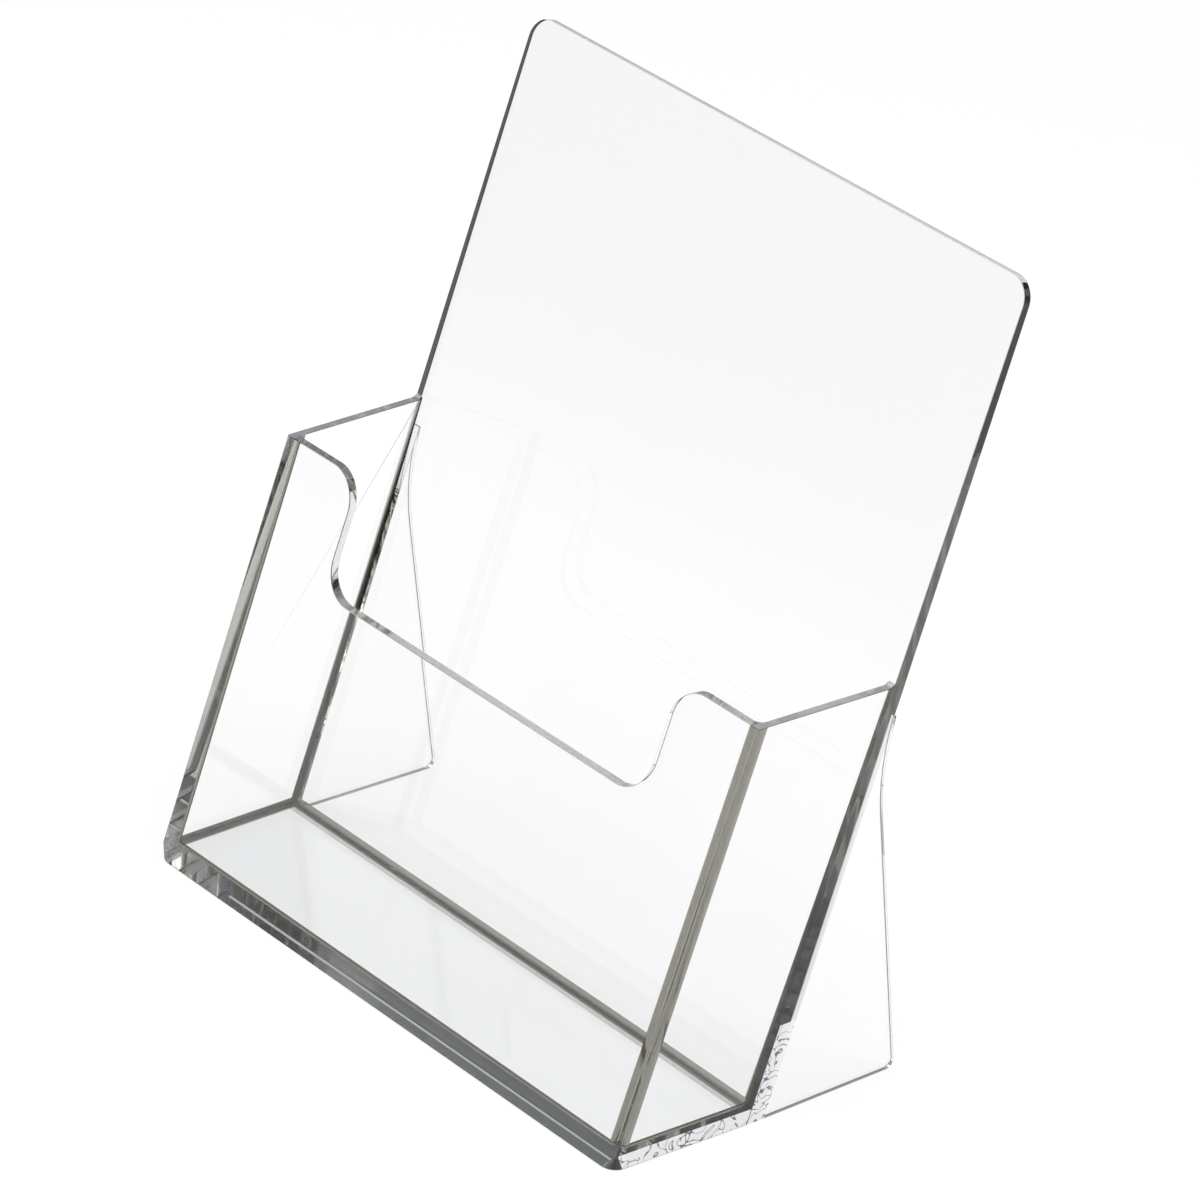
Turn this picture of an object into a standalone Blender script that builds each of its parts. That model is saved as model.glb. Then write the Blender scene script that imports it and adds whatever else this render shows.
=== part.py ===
"""Countertop magazine rack for A4 portrait magazines, in clear acrylic panels.

Seven bonded panels: a base slab, a tall leaning back panel, a front panel with
a finger cut-out, two side walls and two rear legs. Metres, +Z up, +X the
rack's right-hand side seen from in front, +Y towards the back. The origin is
the middle of the footprint, on the table.
"""
import math

import bmesh
import bpy

MM = 0.001
GAP = 0.3 * MM  # clearance left at each bonded joint

HEIGHT = 281.5 * MM  # top of the back panel's front edge
LEAN = math.tan(math.radians(14.4))  # backward shift per unit of height

# The pocket, in plan. It is a little wider at the back panel than in front.
HALF_FRONT = 114.6 * MM
HALF_BACK = 116.1 * MM
POCKET_DEPTH = 56.9 * MM  # front face of the front panel to that of the back
CORNER_RADIUS = 5.5 * MM  # the base slab's front corners, at the table
UPRIGHT_RADIUS = 0.8 * MM  # the same corners, from the top of the slab upwards
SLAB = 5.4 * MM  # thickness of the base slab
POCKET_TOP = 149.0 * MM  # side walls and front panel horns end here

# Panels grow thicker towards the table.
WALL_LOW, WALL_TOP = 4.0 * MM, 3.0 * MM
FRONT_LOW, FRONT_TOP = 3.6 * MM, 3.1 * MM
BACK_LOW, BACK_TOP = 6.9 * MM, 3.0 * MM

BACK_HALF = 115.9 * MM
BACK_RADIUS = 8.0 * MM  # rounded top corners
WALL_FILLET = 3.0 * MM  # side wall top running into the back panel

# The finger cut-out.
CUT_HALF = 78.2 * MM
CUT_FLOOR = 109.4 * MM
CUT_RADIUS = 12.0 * MM

# The rear legs.
LEG = 3.0 * MM
LEG_HALF_TOP = 115.7 * MM
LEG_HALF_FOOT = 114.8 * MM
FOOT_REACH = 123.9 * MM  # front of the base to the back of the foot
FOOT_RADIUS = 3.0 * MM
LEG_LEAN = 0.243  # forward shift of its rear edge per unit of height
LEG_CURVE = 88.0 * MM
LEG_TIP = 138.0 * MM
LEG_TIP_THICKNESS = 0.6 * MM

ARC_STEPS = 10


def clear_scene():
    for obj in list(bpy.data.objects):
        bpy.data.objects.remove(obj, do_unlink=True)


def clear_acrylic(name, colour):
    material = bpy.data.materials.new(name)
    material.use_nodes = True
    shader = material.node_tree.nodes["Principled BSDF"]
    shader.inputs["Base Color"].default_value = (*colour, 1.0)
    shader.inputs["Roughness"].default_value = 0.05
    shader.inputs["IOR"].default_value = 1.49
    shader.inputs["Transmission Weight"].default_value = 1.0
    return material


def taper(low, top, z, z_top):
    return low + (top - low) * z / z_top


def back_rear(z):
    """Distance of the back panel's rear face behind the front of the base."""
    return POCKET_DEPTH + LEAN * z + taper(BACK_LOW, BACK_TOP, z, HEIGHT)


# The back panel's top edge is square to the panel, so its rear side is lower.
TOP_DROP = LEAN * BACK_TOP * math.cos(math.atan(LEAN)) ** 2
DEPTH = back_rear(HEIGHT - TOP_DROP)


def place(point):
    """From distances behind the front of the base to the part's own frame."""
    return point[0], point[1] - DEPTH / 2, point[2]


def solid_between(name, near, far, material):
    """The closed body between two matching outlines."""
    mesh = bmesh.new()
    a = [mesh.verts.new(place(p)) for p in near]
    b = [mesh.verts.new(place(p)) for p in far]
    mesh.faces.new(a)
    mesh.faces.new(b)
    for i in range(len(a)):
        j = (i + 1) % len(a)
        mesh.faces.new((a[i], a[j], b[j], b[i]))
    bmesh.ops.recalc_face_normals(mesh, faces=mesh.faces)
    data = bpy.data.meshes.new(name)
    mesh.to_mesh(data)
    mesh.free()
    obj = bpy.data.objects.new(name, data)
    data.materials.append(material)
    bpy.context.scene.collection.objects.link(obj)
    return obj


def arc(centre, radius, start, end):
    """Points on a circle from one angle to another, in degrees."""
    for i in range(ARC_STEPS + 1):
        angle = math.radians(start + (end - start) * i / ARC_STEPS)
        yield (
            centre[0] + radius * math.cos(angle),
            centre[1] + radius * math.sin(angle),
        )


def half_width(y):
    """Half the outer width of the pocket at a distance behind its front."""
    return HALF_FRONT + (HALF_BACK - HALF_FRONT) * y / POCKET_DEPTH


def corner(side, radius):
    """A front corner of the pocket in plan, from the front face to the side."""
    centre = (half_width(radius) - radius, radius)
    return [(side * x, y) for x, y in arc(centre, radius, -90, 0)]


def make_base_slab(material):
    """A slab whose front corners are rounded at the table and crisp above."""

    def plan(z, radius):
        rear = POCKET_DEPTH - GAP
        right = [*corner(1, radius), (half_width(rear), rear)]
        ring = right + [(-x, y) for x, y in reversed(right)]
        return [(x, y + LEAN * z, z) for x, y in ring]

    low, top = plan(0, CORNER_RADIUS), plan(SLAB, UPRIGHT_RADIUS)
    return solid_between("base_slab", low, top, material)


def wall_inner(y, z):
    """Half the width inside the pocket at a distance behind its front."""
    return half_width(y) - taper(WALL_LOW, WALL_TOP, z, POCKET_TOP)


def make_side_wall(name, side, material):
    """A wall that runs from the front of the pocket to the back panel."""

    def plan(z):
        rear = POCKET_DEPTH - GAP
        ring = [*corner(side, UPRIGHT_RADIUS), (side * half_width(rear), rear)]
        ring.append((side * wall_inner(rear, z), rear))
        ring.append((side * wall_inner(0, z), 0))
        return [(x, y + LEAN * z, z) for x, y in ring]

    bottom = SLAB + GAP
    blank = POCKET_TOP + 2 * WALL_FILLET
    wall = solid_between(name, plan(bottom), plan(blank), material)

    # What lies above the level top and its fillet is cut away. The fillet
    # stops just short of the back panel, so that it has no knife edge.
    lean = math.atan(LEAN)
    back = POCKET_DEPTH - GAP + LEAN * POCKET_TOP
    reach = WALL_FILLET / math.tan(math.pi / 4 + lean / 2)
    centre = (back - reach, POCKET_TOP + WALL_FILLET)
    profile = list(arc(centre, WALL_FILLET, -90, -math.degrees(lean) - 18))
    behind = back + 30 * MM
    profile += [(behind, profile[-1][1]), (behind, POCKET_TOP + 20 * MM)]
    profile += [(0, POCKET_TOP + 20 * MM), (0, POCKET_TOP)]
    x_near, x_far = side * 90 * MM, side * 130 * MM
    cutter = solid_between(
        name + "_trim",
        [(x_near, y, z) for y, z in profile],
        [(x_far, y, z) for y, z in profile],
        material,
    )
    cutter.hide_render = True
    cutter.display_type = "WIRE"
    cut = wall.modifiers.new("level_top", "BOOLEAN")
    cut.operation = "DIFFERENCE"
    cut.solver = "EXACT"
    cut.object = cutter
    return wall


def make_front_panel(material):
    """The panel between the fronts of the two side walls."""
    bottom = SLAB + GAP
    shoulder = (CUT_HALF + CUT_RADIUS, POCKET_TOP - CUT_RADIUS)
    floor_corner = (CUT_HALF - CUT_RADIUS, CUT_FLOOR + CUT_RADIUS)
    right = [(wall_inner(0, z) - GAP, z) for z in (bottom, POCKET_TOP)]
    right += arc(shoulder, CUT_RADIUS, 90, 180)
    right += arc(floor_corner, CUT_RADIUS, 0, -90)
    outline = right + [(-x, z) for x, z in reversed(right)]
    near = [(x, LEAN * z, z) for x, z in outline]
    far = [
        (x, LEAN * z + taper(FRONT_LOW, FRONT_TOP, z, POCKET_TOP), z)
        for x, z in outline
    ]
    return solid_between("front_panel", near, far, material)


def make_back_panel(material):
    top_corner = (BACK_HALF - BACK_RADIUS, HEIGHT - BACK_RADIUS)
    right = [(BACK_HALF, 0), *arc(top_corner, BACK_RADIUS, 0, 90)]
    outline = right + [(-x, z) for x, z in reversed(right)]
    near = [(x, POCKET_DEPTH + LEAN * z, z) for x, z in outline]
    far = []
    for x, z in outline:
        drop = TOP_DROP if z > 0 else 0
        far.append((x, back_rear(z - drop), z - drop))
    return solid_between("back_panel", near, far, material)


def leg_profile():
    """The side view of a rear leg, as distances back and up."""
    rear_lean = (back_rear(HEIGHT) - back_rear(0)) / HEIGHT
    a, b = math.atan(rear_lean), math.atan(LEG_LEAN)
    # The curve touches the straight rear edge and, above, a line just
    # behind the back panel.
    offset = LEG_TIP_THICKNESS / math.cos(a)
    meet = (FOOT_REACH - back_rear(0) - offset) / (rear_lean + LEG_LEAN)
    half_turn = (a + b) / 2
    bisector = (b - a) / 2
    away = LEG_CURVE / math.cos(half_turn)
    centre = (
        FOOT_REACH - LEG_LEAN * meet + away * math.cos(bisector),
        meet + away * math.sin(bisector),
    )
    curve = [
        (y, z)
        for y, z in arc(
            centre, LEG_CURVE, 180 + math.degrees(b), 180 - math.degrees(a)
        )
        if z < LEG_TIP
    ]
    inset = FOOT_RADIUS / math.tan((math.pi / 2 - b) / 2)
    foot_centre = (FOOT_REACH - inset, FOOT_RADIUS)
    foot = list(arc(foot_centre, FOOT_RADIUS, -90, math.degrees(b)))
    start = [(back_rear(0) + GAP, 0)]
    tip = [
        (back_rear(LEG_TIP) + offset, LEG_TIP),
        (back_rear(LEG_TIP) + GAP, LEG_TIP),
    ]
    return start + foot + curve + tip


def make_leg(name, side, material):
    """A flat fin that toes in a little towards its foot."""

    def half(y, z):
        back = (y - back_rear(z)) / (FOOT_REACH - back_rear(0))
        return LEG_HALF_TOP + (LEG_HALF_FOOT - LEG_HALF_TOP) * back

    profile = leg_profile()
    outer = [(side * half(y, z), y, z) for y, z in profile]
    inner = [(side * (half(y, z) - LEG), y, z) for y, z in profile]
    return solid_between(name, outer, inner, material)


def main():
    clear_scene()
    tints = {
        "base": (0.86, 0.89, 0.91),
        "back": (0.92, 0.93, 0.92),
        "front": (0.93, 0.94, 0.94),
        "wall": (0.92, 0.94, 0.95),
        "leg": (0.91, 0.93, 0.93),
    }
    acrylic = {
        key: clear_acrylic("acrylic_" + key, tint) for key, tint in tints.items()
    }
    make_base_slab(acrylic["base"])
    make_back_panel(acrylic["back"])
    make_front_panel(acrylic["front"])
    make_side_wall("left_side_wall", -1, acrylic["wall"])
    make_side_wall("right_side_wall", 1, acrylic["wall"])
    make_leg("left_rear_leg", -1, acrylic["leg"])
    make_leg("right_rear_leg", 1, acrylic["leg"])


main()
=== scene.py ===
"""A clear acrylic magazine rack, bonded from seven panels, on a white table.

The panels are modelled as one clear body with small edge radii, which is then
parted along the bonded joints into the seven pieces. The faces inside a joint
are optically clear, as cement of the same index makes them.
"""
import math

import bmesh
import bpy
from mathutils import Matrix, Vector


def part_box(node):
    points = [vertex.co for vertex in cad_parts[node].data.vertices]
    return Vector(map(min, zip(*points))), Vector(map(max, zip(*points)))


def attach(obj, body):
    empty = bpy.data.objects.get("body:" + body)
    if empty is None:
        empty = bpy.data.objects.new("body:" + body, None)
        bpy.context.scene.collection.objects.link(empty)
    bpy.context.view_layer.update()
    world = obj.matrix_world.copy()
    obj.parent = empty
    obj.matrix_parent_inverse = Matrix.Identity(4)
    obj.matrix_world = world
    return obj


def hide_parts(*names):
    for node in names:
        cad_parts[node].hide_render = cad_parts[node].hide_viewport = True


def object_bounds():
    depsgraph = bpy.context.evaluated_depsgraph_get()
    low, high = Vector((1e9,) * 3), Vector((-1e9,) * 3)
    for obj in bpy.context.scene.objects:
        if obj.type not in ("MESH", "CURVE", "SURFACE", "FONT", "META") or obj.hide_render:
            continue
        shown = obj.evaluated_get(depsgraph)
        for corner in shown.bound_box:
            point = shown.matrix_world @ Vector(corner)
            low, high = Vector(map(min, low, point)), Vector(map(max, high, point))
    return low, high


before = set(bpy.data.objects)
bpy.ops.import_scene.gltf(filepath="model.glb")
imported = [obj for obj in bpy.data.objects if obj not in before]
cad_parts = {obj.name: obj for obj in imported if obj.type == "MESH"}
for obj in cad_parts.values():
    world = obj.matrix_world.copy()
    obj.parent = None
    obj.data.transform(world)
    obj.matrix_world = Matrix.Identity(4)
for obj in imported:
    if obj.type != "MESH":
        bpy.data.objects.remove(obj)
cad_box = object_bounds()

MM = 0.001
BODY = "root"

# What the CAD says.
FRONT = cad_box[0].y
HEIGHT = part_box("back_panel")[1].z
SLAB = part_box("base_slab")[1].z
POCKET_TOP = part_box("front_panel")[1].z

# The plan and profile of the rack, as distances behind the front of the base.
LEAN = math.tan(math.radians(14.4))
HALF_FRONT = 114.6 * MM
HALF_BACK = 116.0 * MM
POCKET_DEPTH = 56.9 * MM
CORNER_RADIUS = 5.5 * MM
UPRIGHT_RADIUS = 0.8 * MM
WALL = (4.0 * MM, 3.0 * MM)
FACE = (3.6 * MM, 3.1 * MM)
BACK = (6.9 * MM, 3.0 * MM)
BACK_RADIUS = 8.0 * MM
WALL_FILLET = 3.0 * MM
CUT_HALF = 78.2 * MM
CUT_FLOOR = 109.4 * MM
CUT_RADIUS = 12.0 * MM
LEG = 3.0 * MM
LEG_HALF_FOOT = 114.8 * MM
FOOT_REACH = 123.9 * MM
FOOT_RADIUS = 3.0 * MM
LEG_LEAN = 0.243
LEG_CURVE = 88.0 * MM
LEG_TIP = 138.0 * MM
LEG_TIP_THICKNESS = 0.9 * MM
BLOCK_TOP = HEIGHT + 20 * MM  # the back panel and its legs are cut from a block

# How the one body is made.
STEP = 4.0  # degrees between the points of a curve
CORNER_STEPS = 10  # pieces in the arc of a front corner
PAST = 30 * MM  # how far the pocket's blank and the finger cutter run up
TONGUE = 1.0 * MM  # how far one blank reaches into the next before they join
WELD = 0.002 * MM  # points nearer than this become one
FLAT = math.radians(0.4)  # faces that turn by less than this become one
ON_PLANE = 1e-7  # points this near a cutting plane, in metres, lie on it
BEAD = 0.36 * MM  # how far a cut stands off a panel's face, to clear its radii

# How its edges are rounded.
EDGE = 0.28 * MM  # radius of the outer edges
INNER_RADIUS = 2.4 * MM  # radius of the corners inside the pocket
EDGE_SEGMENTS, INNER_SEGMENTS = 3, 6  # faces across a rounded edge
SHARP = math.radians(28)  # an edge that turns by more than this is rounded
SOFT = math.radians(40)  # shading is smooth over less than this

# Which material a face gets.
CLEAR, JOINT, SEAM, RIM, FILLET, SIDE, WORN, TOP = range(8)
WORN_BELOW = 34.5 * MM  # the side faces are milky up to here
UPWARD = 0.8  # a face is a top edge if its normal's z is more than this
SIDEWAYS = 0.3  # it may be a side face if its normal's x is more than this
SQUARE_ON = 0.99  # the base slab's sides have more than this

# Surface detail: a noise scale, and a bump's strength and height in metres.
FACE_WAVES = (14.0, 0.05, 0.0006)
EDGE_WAVES = (160.0, 0.12, 0.0004)
IOR = 1.49  # of acrylic


def taper(ends, z, z_top):
    """A thickness at height z, from its values at the table and at z_top."""
    return ends[0] + (ends[1] - ends[0]) * z / z_top


def rear_of_back(z):
    """Distance of the back panel's rear face behind the leaning front plane."""
    return POCKET_DEPTH + taper(BACK, z, HEIGHT)


def half_width(y):
    """Half the pocket's outer width, y behind its front face."""
    return HALF_FRONT + (HALF_BACK - HALF_FRONT) * y / POCKET_DEPTH


def arc(centre, radius, start, end, steps=None):
    """Points on a circle from one angle to another, in degrees."""
    steps = steps or max(2, round(abs(end - start) / STEP))
    for i in range(steps + 1):
        a = math.radians(start + (end - start) * i / steps)
        yield centre[0] + radius * math.cos(a), centre[1] + radius * math.sin(a)


def loft(*outlines):
    """A closed mesh through two or more matching outlines."""
    mesh = bmesh.new()
    rings = [[mesh.verts.new(p) for p in outline] for outline in outlines]
    mesh.faces.new(rings[0])
    mesh.faces.new(rings[-1])
    for a, b in zip(rings, rings[1:]):
        for i in range(len(a)):
            j = (i + 1) % len(a)
            mesh.faces.new((a[i], a[j], b[j], b[i]))
    bmesh.ops.recalc_face_normals(mesh, faces=mesh.faces)
    return mesh


def as_object(name, mesh):
    data = bpy.data.meshes.new(name)
    mesh.to_mesh(data)
    mesh.free()
    obj = bpy.data.objects.new(name, data)
    bpy.context.scene.collection.objects.link(obj)
    return obj


def combine(obj, other, operation):
    """Cuts other from obj, or joins it on, and removes other."""
    boolean = obj.modifiers.new("combine", "BOOLEAN")
    boolean.operation = operation
    boolean.solver = "EXACT"
    boolean.object = other
    bpy.context.view_layer.update()
    graph = bpy.context.evaluated_depsgraph_get()
    data = bpy.data.meshes.new_from_object(obj.evaluated_get(graph))
    obj.modifiers.clear()
    obj.data = data
    bpy.data.objects.remove(other)


# In the helpers below, y is measured from a plane that leans with the panels,
# so that the panels' front faces are square to the axes. clear_body then leans
# the whole body back.
def pocket_block():
    """The pocket with no hollow. Its front corners are rounded at the table."""

    def plan(z, radius):
        centre = (half_width(radius) - radius, radius)
        right = list(arc(centre, radius, -90, 0, CORNER_STEPS))
        right.append((HALF_BACK, POCKET_DEPTH))
        right.append((HALF_BACK - TONGUE, POCKET_DEPTH + TONGUE))
        ring = right + [(-x, y) for x, y in reversed(right)]
        return [(x, y, z) for x, y in ring]

    return as_object(
        "pocket",
        loft(
            plan(0, CORNER_RADIUS),
            plan(SLAB, UPRIGHT_RADIUS),
            plan(POCKET_TOP + PAST, UPRIGHT_RADIUS),
        ),
    )


def cavity():
    """The hollow of the pocket, run on past the walls' tops and rear ends."""
    rear, top = POCKET_DEPTH + 20 * MM, POCKET_TOP + 40 * MM

    def plan(z):
        wall, face = taper(WALL, z, POCKET_TOP), taper(FACE, z, POCKET_TOP)
        right = [(half_width(y) - wall, y) for y in (face, rear)]
        ring = right + [(-x, y) for x, y in reversed(right)]
        return [(x, y, z) for x, y in ring]

    return as_object("cavity", loft(plan(SLAB), plan(top)))


def above_walls():
    """What lies above the walls' level tops and the fillets behind them."""
    lean = math.atan(LEAN)
    back = POCKET_DEPTH + LEAN * POCKET_TOP
    reach = WALL_FILLET / math.tan(math.pi / 4 + lean / 2)
    centre = (back - reach, POCKET_TOP + WALL_FILLET)
    # The fillet stops short of the back panel, so that it has no knife edge.
    short = 34
    profile = list(arc(centre, WALL_FILLET, -90, -math.degrees(lean) - short))
    y, z = profile[-1]
    before, far, wide = -40 * MM, 60 * MM, 0.15
    profile += [(y + far, z), (y + far, z + far), (before, z + far)]
    profile.append((before, POCKET_TOP))
    flat = [(y - LEAN * z, z) for y, z in profile]
    sides = [[(x, y, z) for y, z in flat] for x in (-wide, wide)]
    return as_object("above", loft(*sides))


def finger_cut():
    """What is cut from the front panel, from before its face to behind it."""
    before, behind = -5 * MM, 12 * MM
    shoulder = (CUT_HALF + CUT_RADIUS, POCKET_TOP - CUT_RADIUS)
    low = (CUT_HALF - CUT_RADIUS, CUT_FLOOR + CUT_RADIUS)
    right = [(shoulder[0], POCKET_TOP + PAST)]
    right += arc(shoulder, CUT_RADIUS, 90, 180)
    right += arc(low, CUT_RADIUS, 0, -90)
    outline = right + [(-x, z) for x, z in reversed(right)]
    ends = [[(x, y, z) for x, z in outline] for y in (before, behind)]
    return as_object("finger", loft(*ends))


def rear_outline():
    """The rear of a leg and of the block above it, seen from the side."""

    def rear(z):
        return rear_of_back(z) + LEAN * z

    # The curve touches the leg's straight rear edge below and, above it, a
    # line just behind the back panel.
    slope = (rear(HEIGHT) - rear(0)) / HEIGHT
    a, b = math.atan(slope), math.atan(LEG_LEAN)
    offset = LEG_TIP_THICKNESS / math.cos(a)
    meet = (FOOT_REACH - rear(0) - offset) / (slope + LEG_LEAN)
    away = LEG_CURVE / math.cos((a + b) / 2)
    centre = (
        FOOT_REACH - LEG_LEAN * meet + away * math.cos((b - a) / 2),
        meet + away * math.sin((b - a) / 2),
    )
    sweep = arc(centre, LEG_CURVE, 180 + math.degrees(b), 180 - math.degrees(a))
    curve = [p for p in sweep if p[1] < LEG_TIP - 1 * MM]
    inset = FOOT_RADIUS / math.tan((math.pi / 2 - b) / 2)
    foot = arc((FOOT_REACH - inset, FOOT_RADIUS), FOOT_RADIUS, -90, math.degrees(b))
    tip = (rear(LEG_TIP) + offset, LEG_TIP)
    end = (rear(BLOCK_TOP) + 4 * MM, BLOCK_TOP)
    return [(y - LEAN * z, z) for y, z in [*foot, *curve, tip, end]]


def back_and_legs():
    """The back panel with its legs, cut from one block."""
    profile = [(POCKET_DEPTH, BLOCK_TOP), (POCKET_DEPTH, 0), *rear_outline()]
    wide = 130 * MM
    sides = [[(x, y, z) for y, z in profile] for x in (-wide, wide)]
    block = as_object("back_block", loft(*sides))

    # The outline seen from in front, square to the panel at the top.
    centre = (HALF_BACK - BACK_RADIUS, HEIGHT - BACK_RADIUS)
    under = -90 * MM
    right = [(HALF_BACK, under), *arc(centre, BACK_RADIUS, 0, 90)]
    outline = right + [(-x, z) for x, z in reversed(right)]
    fall = LEAN * math.cos(math.atan(LEAN)) ** 2
    ends = []
    for reach in (-10 * MM, 90 * MM):
        ends.append([(x, POCKET_DEPTH + reach, z - fall * reach) for x, z in outline])
    combine(block, as_object("outline", loft(*ends)), "INTERSECT")

    # What lies behind the panel's rear face, between and above the legs.
    inner, outer, tops = HALF_BACK - LEG, 140 * MM, HEIGHT + 40 * MM
    under, depth = -20 * MM, 120 * MM
    toe = (HALF_BACK - LEG_HALF_FOOT) / (FOOT_REACH - rear_of_back(0))
    right = [(inner, under), (inner, LEG_TIP), (outer, LEG_TIP), (outer, tops)]
    shape = right + [(-x, z) for x, z in reversed(right)]
    far = []
    for x, z in shape:
        sign = math.copysign(1, x)
        far.append((x - sign * toe * depth, rear_of_back(z) + depth, z))
    near = [(x, rear_of_back(z), z) for x, z in shape]
    combine(block, as_object("behind", loft(near, far)), "DIFFERENCE")

    # The legs toe in from just behind the panel.
    for side in (-1, 1):
        start, clear = HALF_BACK + 0.01 * MM, 50 * MM
        near, end = 20 * MM, 100 * MM
        plan = [
            (start + toe * near, -near),
            (start - toe * end, end),
            (start + clear, end),
            (start + clear, -near),
        ]
        ends = []
        for z in (-10 * MM, LEG_TIP + 20 * MM):
            ends.append([(side * x, rear_of_back(z) + y, z) for x, y in plan])
        combine(block, as_object("toe", loft(*ends)), "DIFFERENCE")
    return block


def tidy(mesh):
    """Welds slivers and merges faces that lie in one plane."""
    bmesh.ops.remove_doubles(mesh, verts=mesh.verts, dist=WELD)
    bmesh.ops.dissolve_degenerate(mesh, edges=mesh.edges, dist=WELD)
    bmesh.ops.dissolve_limit(
        mesh,
        angle_limit=FLAT,
        verts=mesh.verts,
        edges=mesh.edges,
        delimit=set(),
    )
    bmesh.ops.recalc_face_normals(mesh, faces=mesh.faces)


def depth_of(point):
    """How far a point lies behind the leaning front plane."""
    return point.y - FRONT - LEAN * point.z


def is_pocket_corner(edge):
    """Whether the edge is an inward corner of the pocket, below its rim."""
    a, b = (v.co for v in edge.verts)
    middle = (a + b) / 2
    if abs(middle.x) >= half_width(0) or middle.z >= POCKET_TOP:
        return False
    if not FACE[1] / 2 < depth_of(middle) < POCKET_DEPTH + 1 * MM:
        return False
    if edge.is_convex or min(a.z, b.z) >= POCKET_TOP - 10 * MM:
        return False
    return edge.calc_face_angle(0) > SHARP


def is_back_side(point):
    """Whether the point is on the outline of the back panel, seen from in front."""
    outer = abs(point.x) > HALF_BACK - 0.1 * MM or point.z > HEIGHT - 10 * MM
    return outer and POCKET_DEPTH < depth_of(point) < rear_of_back(point.z)


def clear_body():
    """The whole rack as one closed mesh with rounded edges."""
    body = pocket_block()
    combine(body, cavity(), "DIFFERENCE")
    combine(body, above_walls(), "DIFFERENCE")
    combine(body, finger_cut(), "DIFFERENCE")
    combine(body, back_and_legs(), "UNION")
    mesh = bmesh.new()
    mesh.from_mesh(body.data)
    bpy.data.objects.remove(body)
    tidy(mesh)
    for vert in mesh.verts:
        vert.co.y += LEAN * vert.co.z + FRONT
    inner = [e for e in mesh.edges if is_pocket_corner(e)]
    for face in round_off(mesh, inner, INNER_RADIUS, INNER_SEGMENTS):
        face.material_index = FILLET
    sharp = [
        e
        for e in mesh.edges
        if len(e.link_faces) == 2 and e.calc_face_angle(0) > SHARP
    ]
    for face in round_off(mesh, sharp, EDGE, EDGE_SEGMENTS):
        face.material_index = RIM
    bmesh.ops.bisect_plane(
        mesh,
        geom=mesh.verts[:] + mesh.edges[:] + mesh.faces[:],
        dist=ON_PLANE,
        plane_co=(0, 0, WORN_BELOW),
        plane_no=(0, 0, 1),
    )
    for face in mesh.faces:
        middle = face.calc_center_median()
        if face.normal.z > UPWARD:
            if middle.z > CUT_FLOOR - 1 * MM:
                face.material_index = TOP
        elif abs(face.normal.x) > SIDEWAYS and is_back_side(middle):
            face.material_index = WORN if middle.z < WORN_BELOW else SIDE
    return mesh


def round_off(mesh, edges, radius, segments):
    """Rounds the edges and returns the new faces."""
    made = bmesh.ops.bevel(
        mesh,
        geom=edges,
        offset=radius,
        offset_type="OFFSET",
        segments=segments,
        profile=0.5,
        affect="EDGES",
        clamp_overlap=False,
        loop_slide=True,
        miter_outer="SHARP",
        miter_inner="SHARP",
    )
    bmesh.ops.recalc_face_normals(mesh, faces=mesh.faces)
    return made["faces"]


def keep_side(mesh, point, normal):
    """Cuts the mesh by a plane, keeps what lies behind it, and closes it."""
    cut = bmesh.ops.bisect_plane(
        mesh,
        geom=mesh.verts[:] + mesh.edges[:] + mesh.faces[:],
        dist=ON_PLANE,
        plane_co=point,
        plane_no=normal,
        clear_outer=True,
    )
    edges = [e for e in cut["geom_cut"] if isinstance(e, bmesh.types.BMEdge)]
    edges = [e for e in edges if len(e.link_faces) == 1]
    filled = bmesh.ops.triangle_fill(mesh, edges=edges, normal=normal)
    for face in filled["geom"]:
        if isinstance(face, bmesh.types.BMFace):
            face.material_index = SEAM if point == JOINT_FRONT else JOINT
    bmesh.ops.recalc_face_normals(mesh, faces=mesh.faces)


TILT = math.atan(LEAN)
FRONT_NORMAL = Vector((0, -math.cos(TILT), math.sin(TILT)))
JOINT_FRONT = Vector((0, FRONT + POCKET_DEPTH, 0)) + FRONT_NORMAL * BEAD
REAR_TILT = math.atan(LEAN + (BACK[1] - BACK[0]) / HEIGHT)
REAR_NORMAL = Vector((0, math.cos(REAR_TILT), -math.sin(REAR_TILT)))
JOINT_REAR = Vector((0, FRONT + rear_of_back(0), 0)) + REAR_NORMAL * BEAD
JOINT_SLAB = Vector((0, 0, SLAB + BEAD))
UP = Vector((0, 0, 1))
RIGHT = Vector((1, 0, 0))

# The walls' inner faces, which widen towards the back and towards the top.
WIDEN = (HALF_BACK - HALF_FRONT) / POCKET_DEPTH
THIN = (WALL[0] - WALL[1]) / POCKET_TOP
SIDE_NORMAL = Vector((1, -WIDEN, WIDEN * LEAN - THIN)).normalized()
JOINT_SIDE = Vector((HALF_FRONT - WALL[0] - BEAD, FRONT, 0))


def mirrored(vector):
    return Vector((-vector.x, vector.y, vector.z))


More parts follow.
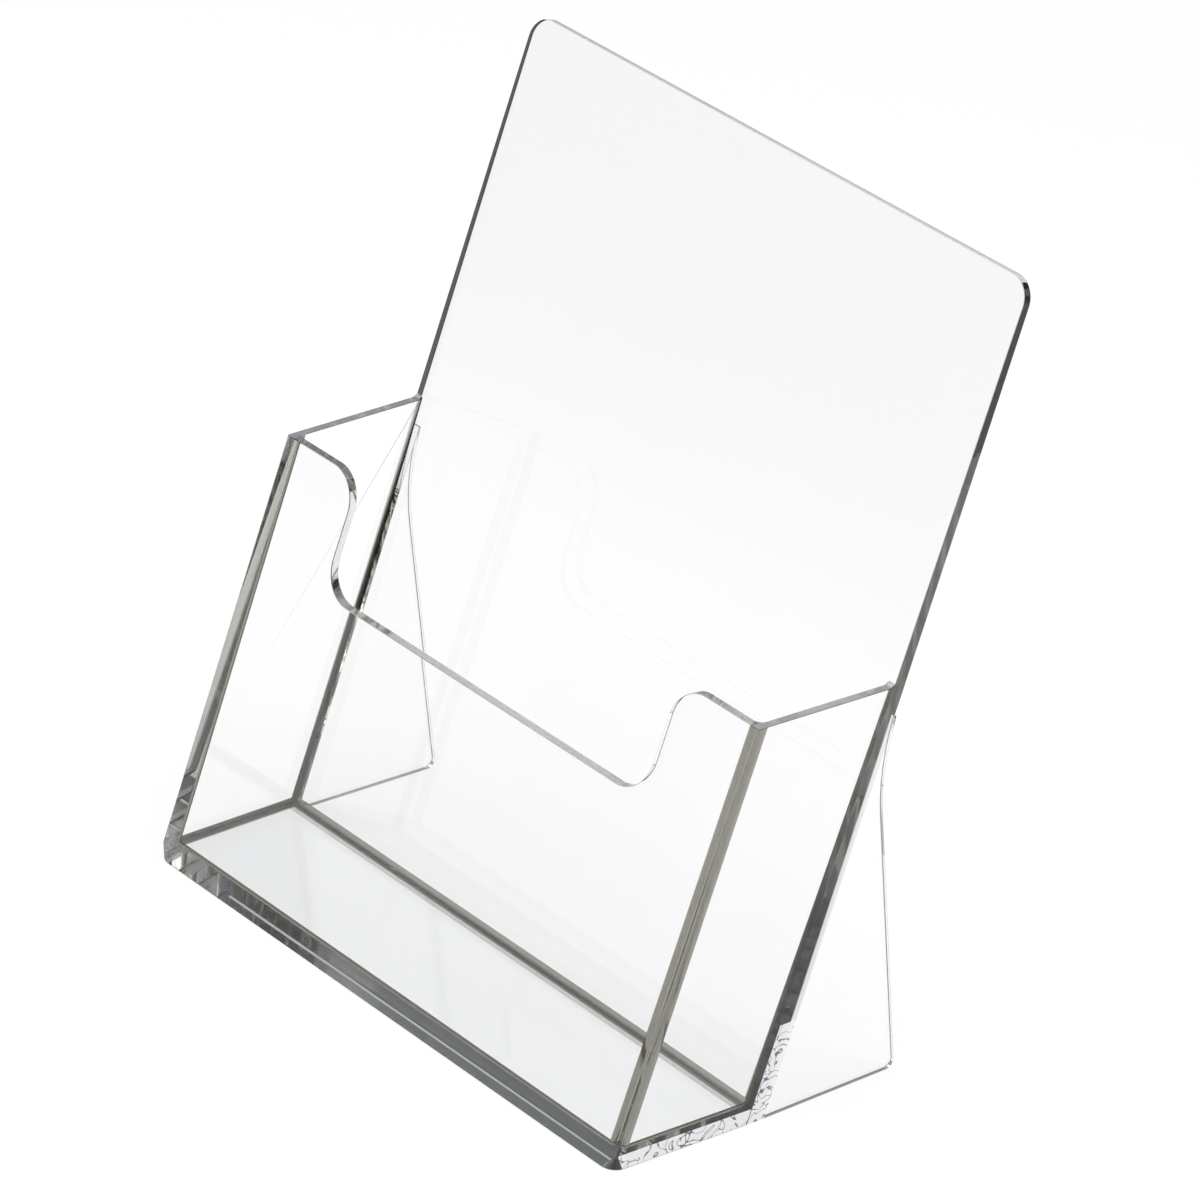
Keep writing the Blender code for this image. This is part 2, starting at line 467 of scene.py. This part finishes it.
# name: (the cuts that part it from the body, as a point and the normal of the
# side that is thrown away, the CAD node, the record's slot)
PANELS = {
    "acrylic_base_slab": (
        [(JOINT_FRONT, -FRONT_NORMAL), (JOINT_SLAB, UP)],
        "base_slab",
        "clear_acrylic_base",
    ),
    "acrylic_back_panel": (
        [(JOINT_FRONT, FRONT_NORMAL), (JOINT_REAR, REAR_NORMAL)],
        "back_panel",
        "clear_acrylic_back",
    ),
    "acrylic_front_panel": (
        [
            (JOINT_FRONT, -FRONT_NORMAL),
            (JOINT_SLAB, -UP),
            (JOINT_SIDE, SIDE_NORMAL),
            (mirrored(JOINT_SIDE), mirrored(SIDE_NORMAL)),
        ],
        "front_panel",
        "clear_acrylic_front",
    ),
    "acrylic_left_wall": (
        [
            (JOINT_FRONT, -FRONT_NORMAL),
            (JOINT_SLAB, -UP),
            (mirrored(JOINT_SIDE), -mirrored(SIDE_NORMAL)),
        ],
        "left_side_wall",
        "clear_acrylic_wall",
    ),
    "acrylic_right_wall": (
        [
            (JOINT_FRONT, -FRONT_NORMAL),
            (JOINT_SLAB, -UP),
            (JOINT_SIDE, -SIDE_NORMAL),
        ],
        "right_side_wall",
        "clear_acrylic_wall",
    ),
    "acrylic_left_leg": (
        [(JOINT_REAR, -REAR_NORMAL), (Vector(), RIGHT)],
        "left_rear_leg",
        "clear_acrylic_leg",
    ),
    "acrylic_right_leg": (
        [(JOINT_REAR, -REAR_NORMAL), (Vector(), -RIGHT)],
        "right_rear_leg",
        "clear_acrylic_leg",
    ),
}


def smooth_with_flats(data):
    """Smooths the shading of curves and edge radii, and keeps flats flat."""
    mesh = bmesh.new()
    mesh.from_mesh(data)
    mesh.faces.ensure_lookup_table()
    areas = [f.calc_area() for f in mesh.faces]
    limit = math.cos(SOFT)
    normals = []
    for face in mesh.faces:
        face.smooth = True
        for loop in face.loops:
            total = Vector()
            for other in loop.vert.link_faces:
                if other.normal.dot(face.normal) > limit:
                    total += other.normal * areas[other.index] ** 2
            normals.append(total.normalized() if total.length else face.normal)
    mesh.to_mesh(data)
    mesh.free()
    data.normals_split_custom_set([n[:] for n in normals])


class Nodes:
    """Adds and links shader nodes."""

    def __init__(self, tree):
        self.tree = tree
        tree.nodes.clear()

    def add(self, kind, settings=None, **inputs):
        node = self.tree.nodes.new(kind)
        for key, value in (settings or {}).items():
            setattr(node, key, value)
        for key, value in inputs.items():
            socket = node.inputs[key.replace("_", " ")]
            if isinstance(value, bpy.types.NodeSocket):
                self.tree.links.new(value, socket)
            else:
                socket.default_value = value
        return node

    def show(self, shader, kind="ShaderNodeOutputMaterial"):
        """Makes this shader the one that is rendered."""
        out = self.add(kind)
        self.tree.links.new(shader.outputs[0], out.inputs["Surface"])


def math_node(n, operation, a, b=0.0):
    """The result of an operation on two numbers or sockets."""
    node = n.add("ShaderNodeMath", {"operation": operation})
    for socket, value in zip(node.inputs, (a, b)):
        if isinstance(value, bpy.types.NodeSocket):
            n.tree.links.new(value, socket)
        else:
            socket.default_value = value
    return node.outputs[0]


def mix_colours(n, factor, a, b, blend="MIX"):
    """A colour between a and b, each a colour or a socket."""
    node = n.add("ShaderNodeMix", {"data_type": "RGBA", "blend_type": blend})
    # A Mix node's colour inputs are 6 and 7, and its colour output is 2.
    for socket, value in ((0, factor), (6, a), (7, b)):
        if isinstance(value, bpy.types.NodeSocket):
            n.tree.links.new(value, node.inputs[socket])
        elif isinstance(value, tuple):
            node.inputs[socket].default_value = (*value, 1)
        else:
            node.inputs[socket].default_value = value
    return node.outputs[2]


def remap(n, value, low, high, to_low, to_high, kind="SMOOTHSTEP"):
    """The value moved from one range to another, and held inside it."""
    inputs = {
        "Value": value,
        "From_Min": low,
        "From_Max": high,
        "To_Min": to_low,
        "To_Max": to_high,
    }
    node = n.add("ShaderNodeMapRange", {"interpolation_type": kind}, **inputs)
    return node.outputs[0]


def surface_detail(n, seed, waves, rough):
    """A cloudy value, a grainy roughness and a slightly wavy normal."""
    place = n.add("ShaderNodeTexCoord").outputs["Object"]
    shift = (seed, seed * 0.7, seed * 1.3)
    place = n.add("ShaderNodeMapping", Vector=place, Location=shift).outputs[0]
    clouds = n.add(
        "ShaderNodeTexNoise", Vector=place, Scale=22.0, Detail=2.0, Roughness=0.5
    ).outputs["Fac"]
    grain = n.add(
        "ShaderNodeTexNoise", Vector=place, Scale=900.0, Detail=3.0, Roughness=0.6
    ).outputs["Fac"]
    roughness = remap(n, grain, 0.35, 0.75, *rough)
    swell = n.add(
        "ShaderNodeTexNoise", Vector=place, Scale=waves[0], Detail=1.0, Roughness=0.4
    ).outputs["Fac"]
    normal = n.add(
        "ShaderNodeBump", Height=swell, Strength=waves[1], Distance=waves[2]
    ).outputs[0]
    return clouds, roughness, normal


def glass(n, colour, roughness, normal):
    shader = n.add(
        "ShaderNodeBsdfGlass",
        Color=colour,
        Roughness=roughness,
        Normal=normal,
        IOR=IOR,
    )
    n.show(shader)


def new_material(name):
    material = bpy.data.materials.new(name)
    material.use_nodes = True
    return material, Nodes(material.node_tree)


def acrylic(name, tint, deep, absorb, seed):
    """Clear acrylic that darkens light by the length it travels inside.

    absorb is what is left of the light after 10 mm.
    """
    material, n = new_material(name)
    clouds, roughness, normal = surface_detail(n, seed, FACE_WAVES, (0.004, 0.02))
    colour = mix_colours(n, clouds, tint, deep)
    # A ray that meets a face from behind has come through the acrylic.
    path = n.add("ShaderNodeLightPath").outputs["Ray Length"]
    inside = n.add("ShaderNodeNewGeometry").outputs["Backfacing"]
    tens_of_mm = math_node(n, "MULTIPLY", path, 100.0)
    length = math_node(n, "MULTIPLY", tens_of_mm, inside)
    left = n.add("ShaderNodeGamma", Color=(*absorb, 1), Gamma=length).outputs[0]
    colour = mix_colours(n, 1.0, colour, left, "MULTIPLY")
    glass(n, colour, roughness, normal)
    return material


def edge_with_painted_shade(name, dark, light, rough, seed):
    """A moulded or milled edge, a little rougher than the faces, and a little darker with
    painted shade.
    """
    material, n = new_material(name)
    clouds, roughness, normal = surface_detail(n, seed, EDGE_WAVES, rough)
    glass(n, mix_colours(n, clouds, dark, light), roughness, normal)
    return material


def side_painted_shade():
    """The back panel's side faces, with painted shade: the left one is tinted dark,
    darkest above the pocket.
    """
    material, n = new_material("acrylic_side")
    clouds, roughness, normal = surface_detail(n, 1.7, EDGE_WAVES, (0.01, 0.06))
    place = n.add("ShaderNodeTexCoord").outputs["Object"]
    axes = n.add("ShaderNodeSeparateXYZ", Vector=place)
    # Painted shade: the left side's grey and near-black tints stand in for the dark that
    # this edge shows; the right side stays nearly clear.
    dark = mix_colours(n, clouds, (0.13, 0.13, 0.125), (0.08, 0.08, 0.08))
    light = mix_colours(n, clouds, (0.50, 0.50, 0.49), (0.38, 0.38, 0.38))
    high = remap(n, axes.outputs["Z"], POCKET_TOP - 2 * MM, POCKET_TOP, 0.0, 1.0)
    left = mix_colours(n, high, light, dark)
    right = mix_colours(n, clouds, (0.95, 0.95, 0.96), (0.80, 0.81, 0.83))
    near = 0.01  # the two sides' looks blend this near the middle
    which = remap(n, axes.outputs["X"], -near, near, 0.0, 1.0)
    glass(n, mix_colours(n, which, left, right), roughness, normal)
    return material


def principled(n, **inputs):
    n.show(n.add("ShaderNodeBsdfPrincipled", **inputs))


def worn_side():
    """Milky side faces with fine dark swirls, near the table."""
    material, n = new_material("acrylic_worn")
    _, roughness, normal = surface_detail(n, 2.9, EDGE_WAVES, (0.01, 0.06))
    place = n.add("ShaderNodeTexCoord").outputs["Object"]
    swirl = n.add(
        "ShaderNodeTexNoise",
        Vector=place,
        Scale=130.0,
        Detail=1.0,
        Roughness=0.4,
        Distortion=1.6,
    ).outputs["Fac"]
    # The swirls are where the noise is near its middle value. The swirl marks are the
    # face's own, but their dark colour is painted shade, standing in for the dark seen
    # through the clearer lines.
    away = math_node(n, "ABSOLUTE", math_node(n, "SUBTRACT", swirl, 0.5))
    line = remap(n, away, 0.004, 0.034, 1.0, 0.0)
    colour = mix_colours(n, line, (1.0, 1.0, 1.0), (0.22, 0.21, 0.26))
    clear = remap(n, line, 0.0, 1.0, 0.10, 0.45)
    principled(
        n,
        Base_Color=colour,
        Roughness=roughness,
        Normal=normal,
        IOR=IOR,
        Transmission_Weight=clear,
    )
    return material


def top_edge(name, clearness, seed):
    """An upward edge, partly milky so that it catches the light from above."""
    material, n = new_material(name)
    clouds, roughness, normal = surface_detail(n, seed, EDGE_WAVES, (0.02, 0.08))
    clear = remap(n, clouds, 0.2, 0.8, clearness - 0.04, clearness)
    principled(
        n,
        Base_Color=mix_colours(n, clouds, (0.94, 0.94, 0.94), (0.84, 0.84, 0.85)),
        Roughness=roughness,
        Normal=normal,
        IOR=IOR,
        Transmission_Weight=clear,
    )
    return material


def cement(name, tint, deep):
    """The inside of a bonded joint, of the same index as the panels."""
    material, n = new_material(name)
    clouds, _, _ = surface_detail(n, 0.2, FACE_WAVES, (0.01, 0.02))
    colour = mix_colours(n, clouds, tint, deep)
    n.show(n.add("ShaderNodeBsdfTransparent", Color=colour))
    return material


def shared_materials():
    """The materials of the slots JOINT to WORN, in order."""
    return (
        cement("clear_joint", (0.95, 0.95, 0.94), (0.92, 0.92, 0.91)),
        cement("clear_seam", (0.78, 0.78, 0.77), (0.73, 0.73, 0.72)),
        # Painted shade: the edge radii are tinted grey, so that they show as dark lines.
        edge_with_painted_shade(
            "acrylic_rim", (0.62, 0.62, 0.61), (0.5, 0.51, 0.5), (0.01, 0.06), 0.9
        ),
        # Painted shade: the pocket's inside corners are tinted dark olive-grey.
        edge_with_painted_shade(
            "acrylic_fillet", (0.35, 0.34, 0.30), (0.25, 0.24, 0.21), (0.01, 0.04), 1.3
        ),
        side_painted_shade(),
        worn_side(),
    )


# The record's slots: what is left of the light after 10 mm, the colour of the
# cloudy places in the faces, and how clear the upward edges are.
FAINT = (0.997, 0.997, 0.997)
MILD = (0.975, 0.975, 0.970)
LOOKS = {
    "clear_acrylic_base": ((0.974, 0.977, 0.980), (0.998, 0.998, 0.998), 0.9),
    "clear_acrylic_back": ((0.955, 0.955, 0.951), FAINT, 0.35),
    "clear_acrylic_front": (MILD, FAINT, 0.85),
    "clear_acrylic_wall": (MILD, FAINT, 0.7),
    "clear_acrylic_leg": (MILD, FAINT, 0.85),
}


def wear_slab_sides(mesh):
    """Gives the base slab's side faces the worn look."""
    for face in mesh.faces:
        if face.material_index == CLEAR and abs(face.normal.x) > SQUARE_ON:
            if abs(face.calc_center_median().x) > HALF_FRONT - 1 * MM:
                face.material_index = WORN


def build_panels():
    body = clear_body()
    shared = shared_materials()
    clear, tops = {}, {}
    for i, (slot, (absorb, deep, clearness)) in enumerate(LOOKS.items()):
        clear[slot] = acrylic(slot, (1, 1, 1), deep, absorb, seed=i * 0.37)
        tops[slot] = top_edge(slot.replace("clear", "edge"), clearness, i * 0.7)
    for name, (cuts, node, slot) in PANELS.items():
        part = body.copy()
        for point, normal in cuts:
            keep_side(part, point, normal)
        if part.calc_volume(signed=True) < 0:
            bmesh.ops.reverse_faces(part, faces=part.faces)
        if node == "base_slab":
            wear_slab_sides(part)
        piece = as_object(name, part)
        for material in (clear[slot], *shared, tops[slot]):
            piece.data.materials.append(material)
        smooth_with_flats(piece.data)
        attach(piece, BODY)
        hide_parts(node)
    body.free()


def make_floor():
    """A pale table just under the rack. It gives off light near the rack."""
    mesh = bmesh.new()
    bmesh.ops.create_grid(mesh, x_segments=1, y_segments=1, size=6.0)
    floor = as_object("table_top", mesh)
    floor.location.z = -0.05 * MM
    material, n = new_material("white_table")
    place = n.add("ShaderNodeTexCoord").outputs["Object"]
    grain = n.add("ShaderNodeTexNoise", Vector=place, Scale=900.0).outputs["Fac"]
    rise = n.add("ShaderNodeBump", Height=grain, Strength=0.04, Distance=0.0002)
    distance = n.add(
        "ShaderNodeVectorMath", {"operation": "LENGTH"}, Vector=place
    ).outputs["Value"]
    near, far = 1.0, 2.4
    glow = remap(n, distance, near, far, 0.85, 0.25)
    principled(
        n,
        Base_Color=(0.2, 0.2, 0.2, 1),
        Roughness=0.9,
        Specular_IOR_Level=0.0,
        Normal=rise.outputs[0],
        Emission_Color=(1, 1, 1, 1),
        Emission_Strength=glow,
    )
    floor.data.materials.append(material)


def make_camera():
    """The photo's camera, fitted to the outline of the rack."""
    place = (1.413408, -1.406841, 1.162657)
    azimuth, elevation, roll = map(math.radians, (44.905, 27.270, -7.356))
    forward = Vector(
        (
            -math.sin(azimuth) * math.cos(elevation),
            math.cos(azimuth) * math.cos(elevation),
            -math.sin(elevation),
        )
    )
    right = forward.cross(UP).normalized()
    down = forward.cross(right)
    x = math.cos(roll) * right + math.sin(roll) * down
    y = math.sin(roll) * right - math.cos(roll) * down
    camera = bpy.data.objects.new("camera", bpy.data.cameras.new("camera"))
    camera.data.lens = 209.506
    camera.data.sensor_width = 36
    turn = Matrix((x, y, -forward)).transposed().to_4x4()
    camera.matrix_world = Matrix.Translation(place) @ turn
    camera.data.clip_start, camera.data.clip_end = 0.05, 50
    bpy.context.scene.collection.objects.link(camera)
    bpy.context.scene.camera = camera


def softbox(name, at, size, watts):
    """A square area light that points at the rack."""
    light = bpy.data.lights.new(name, "AREA")
    light.shape = "SQUARE"
    light.size = size
    light.energy = watts
    lamp = bpy.data.objects.new(name, light)
    lamp.location = at
    aim = Vector((0, 0, 0.1)) - Vector(at)
    lamp.rotation_mode = "QUATERNION"
    lamp.rotation_quaternion = aim.to_track_quat("-Z", "Y")
    bpy.context.scene.collection.objects.link(lamp)


def make_lights():
    """A grey room, a little bluer behind the rack, and three softboxes."""
    world = bpy.data.worlds.new("studio")
    bpy.context.scene.world = world
    world.use_nodes = True
    n = Nodes(world.node_tree)
    way = n.add("ShaderNodeTexCoord").outputs["Generated"]
    axes = n.add("ShaderNodeSeparateXYZ", Vector=way)
    behind = remap(n, axes.outputs["Y"], -0.6, 0.6, 0.0, 1.0, "LINEAR")
    colour = mix_colours(n, behind, (0.27, 0.27, 0.26), (0.25, 0.28, 0.33))
    shade = n.add("ShaderNodeBackground", Color=colour, Strength=1.0)
    n.show(shade, "ShaderNodeOutputWorld")
    softbox("above", (0.1, -0.1, 1.8), 1.2, 16.0)
    softbox("left", (-1.2, -0.4, 1.3), 0.7, 3.0)
    softbox("right", (1.3, 0.5, 1.1), 0.7, 8.0)


make_camera()
make_floor()
make_lights()
build_panels()

scene = bpy.context.scene
scene.view_settings.view_transform = "Standard"
scene.view_settings.look = "None"
# Light is reflected many times inside an edge before it gets out.
scene.cycles.max_bounces = 256
scene.cycles.transmission_bounces = 256
scene.cycles.glossy_bounces = 256
scene.cycles.diffuse_bounces = 4
scene.cycles.transparent_max_bounces = 64
